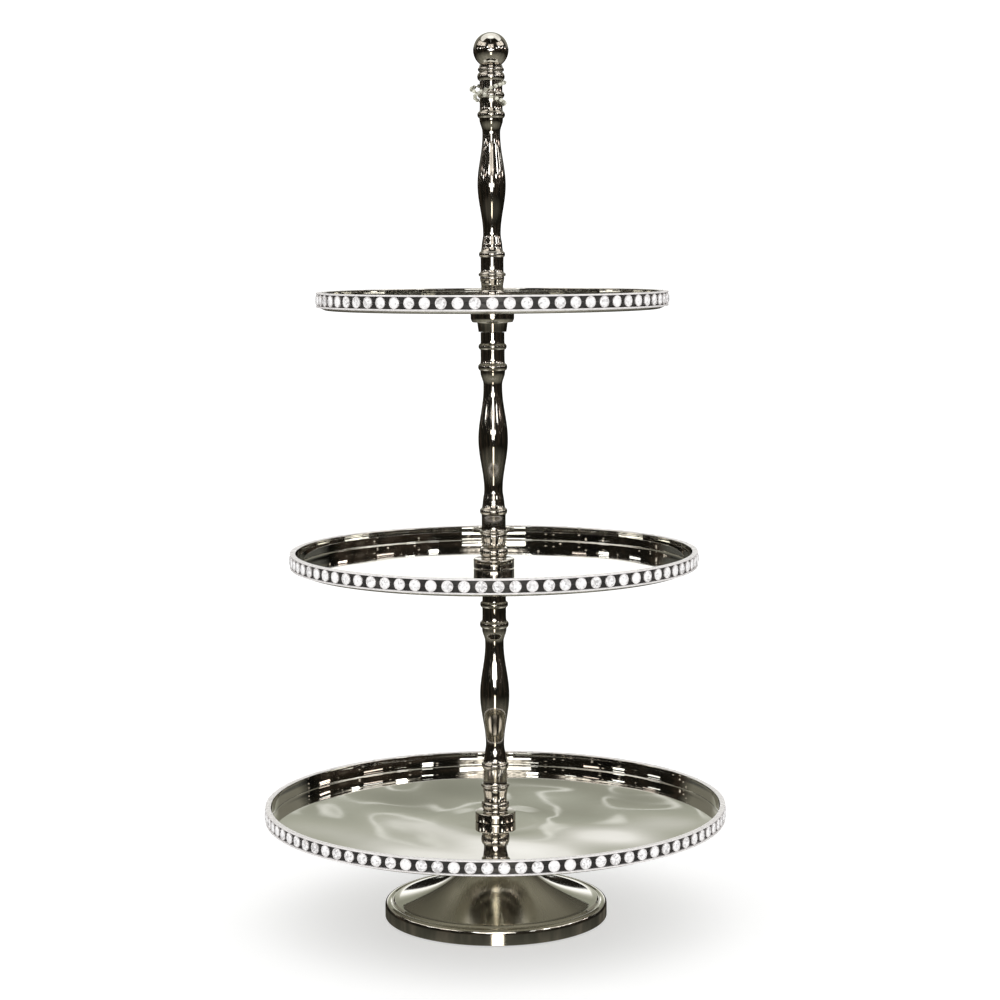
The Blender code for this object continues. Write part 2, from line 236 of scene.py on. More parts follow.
def spun_metal(name):
    """Plate over spun metal: fine turning rings round the axis, and a softer gloss."""
    made, tree, shader, place = new_material(name)
    shader.inputs["Metallic"].default_value = 1.0
    clouds = spread(tree, noise(tree, place, 30.0, 4.0), 0.0, 1.0)
    tree.links.new(ramp(tree, clouds, (0.0, (0.76, 0.74, 0.68)), (1.0, (0.86, 0.84, 0.79))),
                   shader.inputs["Base Color"])
    rings = node(tree, "ShaderNodeTexWave", {"Vector": place, "Scale": 260.0, "Distortion": 1.5,
                                             "Detail": 2.0},
                 wave_type="RINGS", rings_direction="Z").outputs["Fac"]
    tree.links.new(spread(tree, noise(tree, place, 120.0), 0.20, 0.30), shader.inputs["Roughness"])
    bumped(tree, shader, rings, 0.12, 0.00004)
    return made


def painted_sheen_satin_metal(name):
    """Satin plate of the lips and cups, brushed unevenly, with a faint rosy tint. Its near-white,
    barely metallic colour is a painted sheen that stands for the lips' bright reflections.
    """
    made, tree, shader, place = new_material(name)
    shader.inputs["Metallic"].default_value = 0.2
    brushing = spread(tree, noise(tree, place, 420.0, 4.0, 0.6), 0.0, 1.0)
    # Near-white colours with little metal: painted sheen of the lips and cups
    tree.links.new(ramp(tree, brushing, (0.0, (0.76, 0.73, 0.72)), (0.5, (0.90, 0.87, 0.86)),
                        (1.0, (0.96, 0.94, 0.93))), shader.inputs["Base Color"])
    tree.links.new(spread(tree, noise(tree, place, 150.0), 0.22, 0.36), shader.inputs["Roughness"])
    bumped(tree, shader, brushing, 0.15, 0.00003)
    return made


def dark_strip_painted_shade(name):
    """Dark strip behind the stones, nearly matt: its near-black colour is painted shade in the gaps
    between the stones, with lighter worn patches.
    """
    made, tree, shader, place = new_material(name)
    shader.inputs["Metallic"].default_value = 0.5
    wear = spread(tree, noise(tree, place, 160.0, 4.0, 0.6), 0.0, 1.0)
    # Near-black colours: painted shade of the gaps between the stones; the lighter patches are wear
    tree.links.new(ramp(tree, wear, (0.0, (0.050, 0.048, 0.046)), (0.7, (0.075, 0.072, 0.069)),
                        (1.0, (0.12, 0.115, 0.11))), shader.inputs["Base Color"])
    tree.links.new(spread(tree, wear, 0.42, 0.30), shader.inputs["Roughness"])
    bumped(tree, shader, noise(tree, place, 600.0), 0.15, 0.00003)
    return made


def crystal_painted_sparkle(name, tint, shade, scale=900.0, dark_share=0.45):
    """Foil-backed stone, opaque: its near-white body and its lighter and darker facet cells are
    painted sparkle, the light and shade of the facets, and some stones are duller at random.
    """
    made, tree, shader, place = new_material(name)
    shader.inputs["Roughness"].default_value = 0.03
    shader.inputs["IOR"].default_value = 1.6
    shader.inputs["Coat Weight"].default_value = 0.6
    shader.inputs["Coat Roughness"].default_value = 0.02
    # Lighter and darker cells: painted highlights and shade of the facets
    cells = node(tree, "ShaderNodeTexVoronoi", {"Vector": place, "Scale": scale})
    facets = node(tree, "ShaderNodeSeparateColor", {"Color": cells.outputs["Color"]})
    clearness = spread(tree, noise(tree, place, 75.0, 1.0), -0.30, 0.36)
    bright = maths(tree, "ADD", facets.outputs["Red"], clearness)
    tree.links.new(ramp(tree, bright, (0.0, shade), (dark_share, tint), (1.0, tint)),
                   shader.inputs["Base Color"])
    return made


def plated_steel(name):
    """Zinc-plated steel: dull grey with passivation clouds and fine turning marks."""
    made, tree, shader, place = new_material(name)
    shader.inputs["Metallic"].default_value = 1.0
    clouds = spread(tree, noise(tree, place, 90.0, 6.0), 0.0, 1.0)
    tree.links.new(ramp(tree, clouds, (0.0, (0.36, 0.36, 0.37)), (0.6, (0.52, 0.52, 0.53)),
                        (1.0, (0.60, 0.58, 0.53))), shader.inputs["Base Color"])
    tree.links.new(spread(tree, noise(tree, place, 300.0), 0.24, 0.42), shader.inputs["Roughness"])
    bumped(tree, shader, noise(tree, place, 1400.0, 2.0), 0.2, 0.00003)
    return made


def black_felt(name):
    """Pressed felt: short fibres that catch the light at a low angle."""
    made, tree, shader, place = new_material(name)
    shader.inputs["Roughness"].default_value = 0.95
    shader.inputs["Sheen Weight"].default_value = 0.5
    fibres = noise(tree, place, 1800.0, 6.0, 0.7)
    tree.links.new(ramp(tree, fibres, (0.3, (0.022, 0.022, 0.024)), (0.7, (0.075, 0.075, 0.08))),
                   shader.inputs["Base Color"])
    bumped(tree, shader, fibres, 0.8, 0.0003)
    return made


# ---- mesh helpers
def eased(start, end, steps):
    """Points of an S-curve from one (radius, height) to another, without the first point."""
    points = []
    for step in range(1, steps + 1):
        part = step / steps
        blend = 0.5 - 0.5 * math.cos(math.pi * part)
        points.append((start[0] + (end[0] - start[0]) * blend,
                       start[1] + (end[1] - start[1]) * part))
    return points


def ring_bead(low, high, root, crest, steps=14):
    """Half-round bead between two heights, from its root radius to its crest."""
    half = 0.5 * (high - low)
    points = []
    for step in range(steps + 1):
        angle = math.pi * (step / steps - 0.5)
        points.append((root + (crest - root) * math.cos(angle),
                       low + half + half * math.sin(angle)))
    return points


def softened(outline, steps=5):
    """Round an outline's corners. A point's third value is how far its rounding reaches."""
    points = []
    for index, point in enumerate(outline):
        if len(point) == 2:
            points.append(point)
            continue
        corner = Vector(point[:2])
        before = Vector(outline[index - 1][:2])
        after = Vector(outline[(index + 1) % len(outline)][:2])
        start = corner + (before - corner).normalized() * point[2]
        end = corner + (after - corner).normalized() * point[2]
        for step in range(steps + 1):
            part = step / steps
            curve = (1 - part) ** 2 * start + 2 * part * (1 - part) * corner + part ** 2 * end
            points.append(tuple(curve))
    return points


def lathe(outline, sides, warp=None):
    """Turn a (radius, height) outline round the axis, and return its points and faces.

    An outline that starts and ends on the axis makes a solid piece, and any other a ring. A warp
    changes the radius and height of a point by its angle.
    """
    points, rings, faces = [], [], []
    for radius, height in outline:
        first = len(points)
        if radius < 1e-6:
            points.append((0.0, 0.0, height))
            rings.append([first] * sides)
            continue
        for side in range(sides):
            angle = math.tau * side / sides
            reach, level = warp(radius, height, angle) if warp else (radius, height)
            points.append((reach * math.cos(angle), reach * math.sin(angle), level))
        rings.append(list(range(first, first + sides)))
    pairs = list(zip(rings, rings[1:]))
    if outline[0][0] > 1e-6:
        pairs.append((rings[-1], rings[0]))
    for low, high in pairs:
        for side in range(sides):
            after = (side + 1) % sides
            face = list(dict.fromkeys((low[side], low[after], high[after], high[side])))
            if len(face) > 2:
                faces.append(face)
    return points, faces


def copies(shape, places):
    """Copy points and faces to each place, a 4x4 matrix, as one set of points and faces."""
    base = np.array([(*point, 1.0) for point in shape[0]])
    points, faces = [], []
    for number, place in enumerate(places):
        points.append((base @ np.array(place).T)[:, :3])
        shift = number * len(base)
        faces.extend([corner + shift for corner in face] for face in shape[1])
    return np.concatenate(points).tolist(), faces


def joined(*shapes):
    points, faces = [], []
    for more_points, more_faces in shapes:
        shift = len(points)
        points.extend(more_points)
        faces.extend([corner + shift for corner in face] for face in more_faces)
    return points, faces


def add_piece(name, shape, surface, body, stands_for, sharp=38.0, flat=False, accents=()):
    """Make a piece from points and faces in millimetres, and let it ride on its CAD body.

    Accents are further materials, each with a test that picks the faces that have it.
    """
    mesh = bpy.data.meshes.new(name)
    mesh.from_pydata([(x * MM, y * MM, z * MM) for x, y, z in shape[0]], [], shape[1])
    bm = bmesh.new()
    bm.from_mesh(mesh)
    bmesh.ops.recalc_face_normals(bm, faces=bm.faces)
    bm.to_mesh(mesh)
    bm.free()
    mesh.materials.append(surface)
    for number, (finish, picks) in enumerate(accents, 1):
        mesh.materials.append(finish)
        for face in mesh.polygons:
            if picks(face):
                face.material_index = number
    if not flat:
        mesh.shade_smooth()
        mesh.set_sharp_from_angle(angle=math.radians(sharp))
    piece = bpy.data.objects.new(name, mesh)
    bpy.context.collection.objects.link(piece)
    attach(piece, body)
    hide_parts(*stands_for)
    return piece


# ---- trays
def tray_sizes(tier):
    """Radius over the stones, height of the rim, and floor height at the pole."""
    pan_low, pan_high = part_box(tier + "_tray_pan")
    chain_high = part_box(tier + "_stone_chain")[1]
    return chain_high.x / MM, pan_high.z / MM, pan_low.z / MM + SHEET


def floor_wave(radius, angle, wall):
    """Slow waves in the polished floor. They die out at the column's seat and near the wall."""
    inside = min(1.0, max(0.0, (radius - SEAT_RADIUS) / WAVE_FADE))
    outside = min(1.0, max(0.0, (wall - 4.0 - radius) / WAVE_FADE))
    x, y = radius * math.cos(angle), radius * math.sin(angle)
    wave = math.sin(x / 21.0 + 0.6) * math.cos(y / 27.0 - 0.4)
    wave += 0.6 * math.sin(x / 34.0 - y / 19.0 + 1.9)
    wave += 0.35 * math.cos((x + y) / 13.0)
    return wave * inside * outside


def tray_pan(tier, surface, lip_surface, under_surface):
    """Spun pan: dished floor, upright wall, and a channel round it between two rolled lips."""
    radius, rim, floor = tray_sizes(tier)
    lip = radius - STONE_PROUD
    groove = lip - CHANNEL_DEPTH
    wall = groove - WALL
    foot_of_wall = rim - WELL_DEPTH
    band_low = rim - BAND_HEIGHT
    dish = []
    for step in range(1, DISH_STEPS):
        part = step / DISH_STEPS
        dish.append((SEAT_RADIUS + (wall - DISH_END - SEAT_RADIUS) * part,
                     floor + (foot_of_wall - floor) * part ** DISH_CURVE))
    top = [(BORE_RADIUS, floor), (COLLAR_ROOM, floor), (SEAT_RADIUS, floor)] + dish
    bulge = []
    for step in range(1, WALL_STEPS):
        part = step / WALL_STEPS
        bulge.append((wall - WALL_BULGES[tier] * math.sin(math.pi * part),
                      foot_of_wall + WALL_CORNER + (WELL_DEPTH - 2 * WALL_CORNER) * part))
    upper = softened([(wall - 1.6, foot_of_wall), (wall, foot_of_wall, WALL_CORNER), *bulge])
    upper += softened([
        (wall, rim, WALL_CORNER), (lip, rim, LIP_OUTER_EDGE),
        (lip, rim - LIP, LIP_INNER_EDGE), (groove, rim - LIP, CHANNEL_CORNER),
        (groove, band_low + LIP, CHANNEL_CORNER), (lip, band_low + LIP, LIP_INNER_EDGE),
        (lip, band_low, LIP_OUTER_EDGE), (lip - 1.4, band_low, 0.6),
        (wall - 1.8, foot_of_wall - SHEET),
    ])
    under = [(point_radius, height - SHEET) for point_radius, height in reversed(dish[::3])]
    bottom = under + [(SEAT_RADIUS, floor - SHEET), (BORE_RADIUS, floor - SHEET)]

    def warp(point_radius, height, angle):
        if SEAT_RADIUS < point_radius < wall - 3.0:
            height += FLOOR_WAVES[tier] * floor_wave(point_radius, angle, wall)
        return point_radius, height

    def on_lip(face):
        """Both lips, the channel's edges and the flat top of the wall."""
        reach, height = face.center.xy.length / MM, face.center.z / MM
        return reach > groove + 0.15 or (reach > wall + 0.1 and height > rim - 0.35)

    def underneath(face):
        """The flat underside, from the bore out to the channel."""
        return face.index >= first_under and face.center.xy.length / MM < lip

    first_under = (len(top) + len(upper) - 2) * TRAY_SIDES
    add_piece(tier + "_pan", lathe(top + upper + bottom, TRAY_SIDES, warp), surface,
              tier + "_tray", [tier + "_tray_pan"],
              accents=((lip_surface, on_lip), (under_surface, underneath)))


def brilliant(radius, crown):
    """Round brilliant lying in the XY plane: table up, crown, girdle, and a low cone below."""
    def ring(count, size, height, turn=0.0):
        return [(size * math.cos(math.tau * (index + turn) / count),
                 size * math.sin(math.tau * (index + turn) / count), height)
                for index in range(count)]

    fold, sides = STONE_FOLD, 2 * STONE_FOLD
    table = ring(fold, STONE_TABLE * radius, crown)
    kites = ring(fold, STONE_KITE * radius, STONE_KITE_HEIGHT * crown, 0.5)
    girdle = ring(sides, radius, 0.0)
    skirt = ring(sides, radius, -GIRDLE_THICKNESS)
    points = table + kites + girdle + skirt + [(0.0, 0.0, -PAVILION_DEPTH)]
    first_kite, first_girdle, first_skirt = fold, 2 * fold, 2 * fold + sides
    tip = first_skirt + sides
    faces = [list(range(fold))]
    for index in range(fold):
        after, before = (index + 1) % fold, (index - 1) % fold
        corner = first_girdle + 2 * index
        beside, next_corner = corner + 1, first_girdle + 2 * after
        kite = first_kite + index
        faces.append([index, kite, after])
        faces.append([index, first_kite + before, corner, kite])
        faces.append([corner, beside, kite])
        faces.append([beside, next_corner, kite])
    for side in range(sides):
        after = (side + 1) % sides
        faces.append([first_girdle + side, first_skirt + side, first_skirt + after,
                      first_girdle + after])
        faces.append([first_skirt + side, tip, first_skirt + after])
    return points, faces


def round_cup():
    """Cup that holds a stone: floor, wall with a rolled rim, and a grip inside."""
    outline = softened([
        (0.0, 0.0), (CUP_RADIUS - 0.25, 0.0, 0.2), (CUP_RADIUS, CUP_HEIGHT, 0.14),
        (CUP_RADIUS - 0.28, CUP_HEIGHT, 0.1), (STONE_RADIUS - 0.25, 0.35), (0.0, 0.3),
    ], 4)
    return lathe(outline, CUP_SIDES)


def prong():
    """Small claw bent over the stone's edge."""
    outline = [(0.0, -0.25), (0.36, -0.2), (0.42, 0.1), (0.34, 0.32), (0.16, 0.42), (0.0, 0.45)]
    points, faces = lathe(outline, SMALL_SIDES)
    return [(x * 1.1 - 0.1, y * 0.8, z) for x, y, z in points], faces


def link_bar(length):
    """Rounded bar from one cup to the next."""
    points, faces = lathe([(0.0, -0.5 * length), (0.30, -0.5 * length), (0.55, -0.28 * length),
                           (0.60, 0.0), (0.55, 0.28 * length), (0.30, 0.5 * length),
                           (0.0, 0.5 * length)], SMALL_SIDES)
    return [(x, z, y) for x, y, z in points], faces


def stone_chain(tier, crystal, metal, cup_metal):
    """Strip and links in one metal, cups and claws in another, and a stone in each cup."""
    radius, rim, _ = tray_sizes(tier)
    lip = radius - STONE_PROUD
    inner = lip - CHANNEL_DEPTH + STRIP_GAP
    outer = inner + STRIP_THICKNESS
    low = rim - BAND_HEIGHT + LIP + STRIP_GAP
    high = rim - LIP - STRIP_GAP
    middle = 0.5 * (low + high)
    count = STONES[tier]
    pitch = math.tau / count

    def places(reach, turn=0.0, lift=0.0, roll=0.0, across=0.0):
        """Frames round the rim: local Z points outwards and local X along the rim."""
        found = []
        for index in range(count):
            angle = (index + turn) * pitch
            outward = Vector((math.cos(angle), math.sin(angle), 0.0))
            along = Vector((-math.sin(angle), math.cos(angle), 0.0))
            facing = Matrix.Identity(4)
            facing.col[0][:3] = along
            facing.col[1][:3] = (0.0, 0.0, 1.0)
            facing.col[2][:3] = outward
            centre = outward * reach + along * across + Vector((0.0, 0.0, middle + lift))
            found.append(Matrix.Translation(centre) @ facing @ Matrix.Rotation(roll, 4, "Z"))
        return found

    strip = lathe(softened([(inner, low), (outer, low, STRIP_EDGE), (outer, high, STRIP_EDGE),
                            (inner, high)]), TRAY_SIDES)
    claw_reach = STONE_RADIUS - 0.05
    claws = []
    for claw in range(CLAWS):
        turn = math.tau * (claw + 0.5) / CLAWS
        claws.append(copies(prong(), places(outer + CUP_HEIGHT - 0.08, roll=turn,
                                            across=claw_reach * math.cos(turn),
                                            lift=claw_reach * math.sin(turn))))
    gap_width = pitch * outer - 2 * CUP_RADIUS + 1.0
    bars = copies(link_bar(gap_width), [place @ Matrix.Rotation(math.pi / 2, 4, "Z")
                                        for place in places(outer + LINK_LIFT, turn=0.5)])
    backing = joined(strip, bars)
    cups = joined(copies(round_cup(), places(outer - CUP_SINK)), *claws)
    add_piece(tier + "_cup_chain", joined(backing, cups), metal, tier + "_tray",
              [tier + "_stone_chain"],
              accents=((cup_metal, lambda face: face.index >= len(backing[1])),))

    table_radius = radius - TABLE_INSET
    girdle_radius = outer + CUP_HEIGHT - STONE_SINK
    stone = brilliant(STONE_RADIUS, table_radius - girdle_radius)
    settings = [place @ Matrix.Rotation(0.7 * index, 4, "Z")
                for index, place in enumerate(places(girdle_radius))]
    add_piece(tier + "_stones", copies(stone, settings), crystal, tier + "_tray",
              [tier + "_stone_chain"], flat=True)


# ---- columns
def base_outline():
    """Flange on the tray floor, a waist, and a bead above it."""
    outline = softened([(13.2, GAP, 0.25), (13.2, 6.2, 0.9), (8.2, 6.2, 0.5), (7.9, 7.2)])
    outline += ring_bead(7.8, 13.0, 7.9, 9.15)
    return outline + [(8.3, BASE_TOP)]


def spindle_outline():
    """Turned spindle: beads at both ends, and a long belly between two necks."""
    lower_neck = (5.95, 50.5)
    belly = (9.5, 83.0)
    upper_neck = (6.0, 116.5)
    shoulder = (7.0, 41.6)
    outline = [(7.4, BASE_TOP + GAP), (7.42, 15.5)]
    outline += eased((7.42, 15.5), (8.2, 21.2), 6)
    outline += ring_bead(21.9, 24.6, 8.0, 9.2)
    outline += [(7.75, 25.3), (7.7, 27.0), (7.7, 33.0), (7.8, 34.4)]
    outline += ring_bead(34.9, 38.6, 7.8, 8.8)
    outline += [(7.4, 39.3), shoulder]
    outline += eased(shoulder, lower_neck, 10)
    outline += eased(lower_neck, belly, 28)
    outline += eased(belly, upper_neck, 28)
    outline += [(6.0, 118.0)]
    outline += eased((6.0, 118.0), (7.9, 126.4), 10)
    outline += ring_bead(127.3, 131.7, 8.0, 9.3)
    outline += [(7.75, 132.6), (7.65, 134.5), (7.65, 138.5), (7.7, 139.8)]
    outline += ring_bead(140.6, 144.5, 7.7, 9.0)
    return outline + [(7.62, 145.4), (7.6, 147.5), (7.6, CAP_BOTTOM - GAP)]


def cap_outline():
    """Stepped collar that spreads to a flange under the next tray."""
    return softened([(8.9, CAP_BOTTOM, 0.3), (9.3, 154.5), (9.7, 157.8, 0.4), (12.9, 158.0, 0.5),
                     (13.9, 160.2, 0.6), (13.9, COLUMN_TOP, 0.3)])


def placed(outline, scale, floor):
    return [(radius * scale, height * scale + floor) for radius, height in outline]


def ring_from(outline, bore):
    """Close a collar outline with the wall of its bore."""
    return outline + [(bore, outline[-1][1]), (bore, outline[0][1])]


def bored(outline, top_radius, top_depth):
    """Close a spindle outline with a hole up from the bottom and another down from the top."""
    low, high = outline[0][1], outline[-1][1]
    bottom_hole = [(0.0, low + BORE_DEPTH), (BORE_RADIUS, low + BORE_DEPTH), (BORE_RADIUS, low)]
    top_hole = [(top_radius, high), (top_radius, high - top_depth), (0.0, high - top_depth)]
    return bottom_hole + outline + top_hole


def column(tier, surface):
    floor = tray_sizes(tier)[2]
    scale = COLUMN_SCALE[tier]
    body = tier + "_column"
    add_piece(tier + "_base_collar",
              lathe(ring_from(placed(base_outline(), scale, floor), BORE_RADIUS), COLUMN_SIDES),
              surface, body, [tier + "_column_base"])
    last = tier == TIERS[-1]
    hole = (FINIAL_BORE_RADIUS, FINIAL_BORE_DEPTH) if last else (BORE_RADIUS, BORE_DEPTH)
    add_piece(tier + "_spindle",
              lathe(bored(placed(spindle_outline(), scale, floor), *hole), COLUMN_SIDES),
              surface, body, [tier + "_column_spindle"])
    if not last:
        add_piece(tier + "_cap_collar",
                  lathe(ring_from(placed(cap_outline(), scale, floor), BORE_RADIUS), COLUMN_SIDES),
                  surface, body, [tier + "_column_cap"])


def threaded_rod(cad_node, name, body, surface):
    """Rod with a helical thread, smooth at its two ends."""
    low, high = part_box(cad_node)
    radius, bottom, top = high.x / MM, low.z / MM, high.z / MM
    depth = THREAD_DEPTH * radius / THREAD_ROD_RADIUS
    pitch = THREAD_PITCH * radius / THREAD_ROD_RADIUS
    threaded = top - bottom - 2 * THREAD_LEAD
    rings = round(threaded / pitch * THREAD_RINGS)
    outline = [(0.0, bottom), (radius - depth - 0.2, bottom), (radius - depth, bottom + 0.3)]
    outline += [(radius, bottom + THREAD_LEAD + threaded * ring / rings)
                for ring in range(rings + 1)]
    outline += [(radius - depth, top - 0.3), (radius - depth - 0.2, top), (0.0, top)]

    def warp(point_radius, height, angle):
        if point_radius > radius - 1e-6:
            phase = (height / pitch - angle / math.tau) % 1.0
            point_radius -= depth * abs(2.0 * phase - 1.0)
        return point_radius, height

    add_piece(name, lathe(outline, ROD_SIDES, warp), surface, body, [cad_node],
              sharp=60.0)


# ---- foot
def flare_radius(height):
    """Outside of the trumpet, which narrows quickly above the skirt and slowly near the neck."""
    return FLARE_NECK_RADIUS + FLARE_SPREAD * math.exp((FLARE_BOTTOM - height) / FLARE_LENGTH)


def foot(nickel, steel, felt):
    """Trumpet with a rolled skirt, and the plate, felt ring, washer and nut under it."""
    shell_low, shell_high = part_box("foot_shell")
    edge, seat = shell_low.z / MM, shell_high.z / MM
    flare = [FLARE_BOTTOM + (seat - 4.5 - FLARE_BOTTOM) * (step / FLARE_STEPS) ** 1.6
             for step in range(FLARE_STEPS + 1)]
    outside = softened([
        (FOOT_RADIUS - 1.0, edge), (FOOT_RADIUS, edge, 0.3), (FOOT_RADIUS, 7.2),
        (FOOT_RADIUS, 10.7, 3.0), (69.0, 10.85, 0.4), (67.6, 10.1, 0.7), (66.2, 11.45),
    ], 9)
    outside += [(flare_radius(height), height) for height in flare[1:]]
    outside += softened([(15.1, seat - 4.1), (15.6, seat - 3.6, 0.2), (15.6, seat, 0.3)])
    inside = [(BORE_RADIUS, seat), (BORE_RADIUS, seat - 2.0)]
    inside += [(flare_radius(height) - FLARE_SHEET, height - FLARE_SHEET)
               for height in reversed(flare[::3])]
    inside += [(68.6, 8.9), (70.6, 7.7), (71.0, 6.9)]
    add_piece("foot_trumpet", lathe(outside + inside, FOOT_SIDES), nickel, "foot",
              ["foot_shell"])

    plate_low, plate_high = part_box("foot_base_plate")
    edge, bottom, dome = plate_high.x / MM, plate_low.z / MM, plate_high.z / MM
    top, under_dome = bottom + PLATE_SHEET, dome - PLATE_SHEET
    plate = softened([
        (edge, bottom, 0.4), (edge, top, 0.4), (46.0, top), (42.0, top + PLATE_RIDGE),
        (38.0, top), (23.2, top, 1.6), (18.2, dome, 1.4), (BORE_RADIUS, dome),
        (BORE_RADIUS, under_dome), (17.0, under_dome, 1.4), (22.0, bottom, 1.4), (38.0, bottom),
        (42.0, bottom + PLATE_RIDGE), (46.0, bottom),
    ])
    add_piece("base_plate", lathe(plate, PLATE_SIDES), steel, "foot",
              ["foot_base_plate"])

    felt_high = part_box("foot_felt_ring")[1]
    outer, thick = felt_high.x / MM, felt_high.z / MM
    inner = FELT_INNER_RADIUS
    ring = softened([(outer, FELT_LIFT, 0.3), (outer, thick, 0.3), (inner, thick, 0.3),
                     (inner, FELT_LIFT, 0.3)])
    ring += [(radius, FELT_LIFT) for radius in (55.5, 60.5, 65.5)]

    def fuzz(radius, height, angle):
        """Uneven edge, and an underside that rises in places."""
        ripple = math.sin(17.0 * angle) + math.sin(41.0 * angle + radius) + math.sin(73.0 * angle)
        return radius + 0.05 * ripple, height + 0.015 * abs(ripple) * (height < thick / 2)

    add_piece("felt_ring", lathe(ring, FELT_SIDES, fuzz), felt, "foot",
              ["foot_felt_ring"])

    washer_low, washer_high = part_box("base_washer")
    size, low, high = washer_high.x / MM, washer_low.z / MM, washer_high.z / MM
    washer = softened([(size, low, 0.25), (size, high, 0.15), (BORE_RADIUS, high, 0.15),
                       (BORE_RADIUS, low, 0.25)])
    add_piece("washer", lathe(washer, WASHER_SIDES), steel, "foot",
              ["base_washer"])
    hexagon_nut(steel)


def hexagon_nut(steel):
    """Hexagon nut with turned corners at both faces, and a threaded hole."""
    nut_low, nut_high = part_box("base_nut")
    corner, low, high = nut_high.x / MM, nut_low.z / MM, nut_high.z / MM
    flats = corner * math.cos(math.pi / 6)
    steps = 20
    outline = [(corner, low + (high - low) * step / steps) for step in range(steps + 1)]
    hole = [(BORE_RADIUS, high - (high - low) * step / steps) for step in range(steps + 1)]

    def warp(radius, height, angle):
        if radius < corner:
            phase = (height / THREAD_PITCH - angle / math.tau) % 1.0
            return BORE_RADIUS - 0.2 * abs(2.0 * phase - 1.0), height
        turn = (angle + math.pi / 6) % (math.pi / 3) - math.pi / 6
        side = flats / math.cos(turn - math.copysign(math.pi / 6, turn))
        chamfer = flats - 0.15 + 1.7 * min(height - low, high - height)
        return min(side, chamfer), height

    add_piece("nut", lathe(outline + hole, NUT_SIDES, warp), steel, "foot",
              ["base_nut"], sharp=50.0)


# ---- finial and bead strand
def finial(nickel):
    """Beaded collar on the upper column, and the ball above it."""
    collar_low, collar_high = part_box("finial_collar")
    low, top = collar_low.z / MM, collar_high.z / MM
    collar = [(7.0, low), (7.6, low + 0.1)]
    collar += ring_bead(low + 0.3, low + 5.0, 7.6, 8.7)
    collar += [(7.4, low + 5.5)]
    collar += ring_bead(low + 5.9, low + 8.3, 7.5, 8.3)
    collar += [(7.35, top)]
    add_piece("finial_neck", lathe(ring_from(collar, FINIAL_BORE_RADIUS), COLUMN_SIDES), nickel,
              "upper_column", ["finial_collar"])

    ball_low, ball_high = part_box("finial_ball")
    bottom, crown = ball_low.z / MM, ball_high.z / MM
    size = ball_high.x / MM
    centre = crown - BALL_RADIUS
    ball = [(0.0, centre), (BALL_BORE_RADIUS, centre), (BALL_BORE_RADIUS, bottom), (7.0, bottom),
            (7.4, bottom + 0.25)]
    lowest = math.asin((bottom + 0.5 - centre) / BALL_RADIUS)
    for step in range(BALL_STEPS + 1):
        angle = lowest + (math.pi / 2 - lowest) * step / BALL_STEPS
        ball.append((max(0.0, size * math.cos(angle)), centre + BALL_RADIUS * math.sin(angle)))
    ball[-1] = (0.0, crown)
    add_piece("ball_finial", lathe(ball, COLUMN_SIDES), nickel, "finial",
              ["finial_ball"])


def strand_point(turn):
    """Centre line of the strand, which closes on itself after two turns (0 to 4 pi)."""
    reach = STRAND_RADIUS - 1.4 * math.cos(turn) + 1.1 * math.sin(turn / 2)
    height = STRAND_HEIGHT + STRAND_RISE * math.cos(turn / 2) + STRAND_SPLIT * math.sin(turn / 2)
    return Vector((reach * math.cos(turn), reach * math.sin(turn), height))


def strand_frame(turn):
    """Frame on the strand: local Z runs along it and local X points outwards."""
    along = (strand_point(turn + 0.02) - strand_point(turn - 0.02)).normalized()
    outward = Vector((math.cos(turn), math.sin(turn), 0.0))
    outward = (outward - outward.dot(along) * along).normalized()
    made = Matrix.Identity(4)
    made.col[0][:3] = outward
    made.col[1][:3] = along.cross(outward)
    made.col[2][:3] = along
    return Matrix.Translation(strand_point(turn)) @ made


def bead_strand(crystal, metal):
    """Faceted beads threaded on a twisted wire."""
    size = STRAND_BEAD_RADIUS
    outline = [(0.25, -size * 0.95)]
    for step in range(1, 7):
        angle = math.pi * (step / 7 - 0.5)
        outline.append((size * math.cos(angle), size * math.sin(angle)))
    outline += [(0.25, size * 0.95)]
    turns = [2 * math.tau * (index + 0.5) / STRAND_BEADS for index in range(STRAND_BEADS)]
    beads = copies(lathe(outline, STRAND_SIDES), [strand_frame(turn) for turn in turns])
    add_piece("strand_beads", beads, crystal, "upper_column", ["neck_bead_strand"],
              flat=True)

    rings, sides = STRAND_WIRE_RINGS, STRAND_SIDES
    points, faces = [], []
    for index in range(rings):
        turn = 2 * math.tau * index / rings
        here = strand_frame(turn)
        for side in range(sides):
            angle = math.tau * side / sides
            lobe = STRAND_WIRE_RADIUS * (0.8 + 0.2 * math.cos(2 * angle + 40.0 * turn))
            points.append(tuple(here @ Vector((lobe * math.cos(angle), lobe * math.sin(angle), 0))))
    for index in range(rings):
        after = (index + 1) % rings
        for side in range(sides):
            beside = (side + 1) % sides
            faces.append([index * sides + side, index * sides + beside, after * sides + beside,
                          after * sides + side])
    add_piece("strand_wire", (points, faces), metal, "upper_column",
              ["neck_bead_strand"], sharp=80.0)


# ---- stage, light and camera
STUDIO_WHITE = 1.18     # strength of the white studio round the stand
TABLE_RADIUS = 8.0      # metres
TABLE_DROP = 0.0002     # metres from the felt down to the table top
TABLE_GLOW = 0.48

